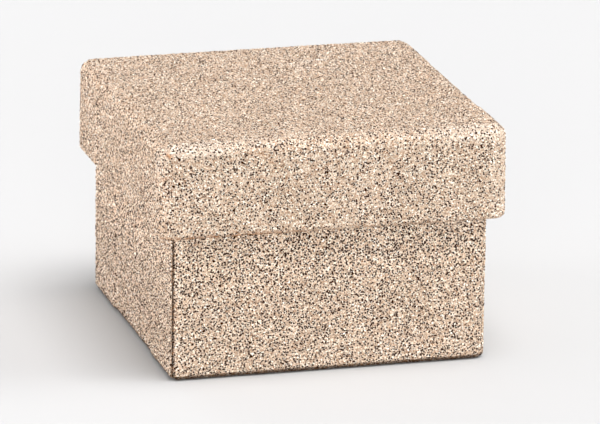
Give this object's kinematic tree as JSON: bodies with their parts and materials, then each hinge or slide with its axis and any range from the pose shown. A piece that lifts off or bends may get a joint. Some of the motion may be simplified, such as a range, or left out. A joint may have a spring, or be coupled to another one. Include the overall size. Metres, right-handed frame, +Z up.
{
  "type": "lidded gift box",
  "caption": "Small square rigid box with a shallow lift-off lid over a deeper tray, both wrapped in rose-gold glitter paper.",
  "frame": {"origin": "centre of the underside", "axes": "+Z up through the lid, -Y out of the front, X across the front"},
  "size_m": [0.0646, 0.064, 0.0447],
  "materials": {
    "glitter_paper": "champagne rose-gold glitter on paper",
    "greyboard": "bare grey chipboard",
    "kraft_tape": "kraft paper corner tape",
    "lining_paper": "matt ivory lining paper"
  },
  "bodies": {
    "base": {"base_board": "greyboard", "base_corner_tape_front_left": "kraft_tape", "base_corner_tape_front_right": "kraft_tape", "base_corner_tape_back_left": "kraft_tape", "base_corner_tape_back_right": "kraft_tape", "base_wrap": "glitter_paper", "base_lining": "lining_paper"},
    "lid": {"lid_board": "greyboard", "lid_corner_tape_front_left": "kraft_tape", "lid_corner_tape_front_right": "kraft_tape", "lid_corner_tape_back_left": "kraft_tape", "lid_corner_tape_back_right": "kraft_tape", "lid_wrap": "glitter_paper", "lid_lining": "lining_paper"}
  },
  "joints": [
    {"name": "lid_lift", "type": "slide", "parent": "base", "child": "lid", "axis": [0, 0, 1], "range_m": [0, 0.045]}
  ]
}
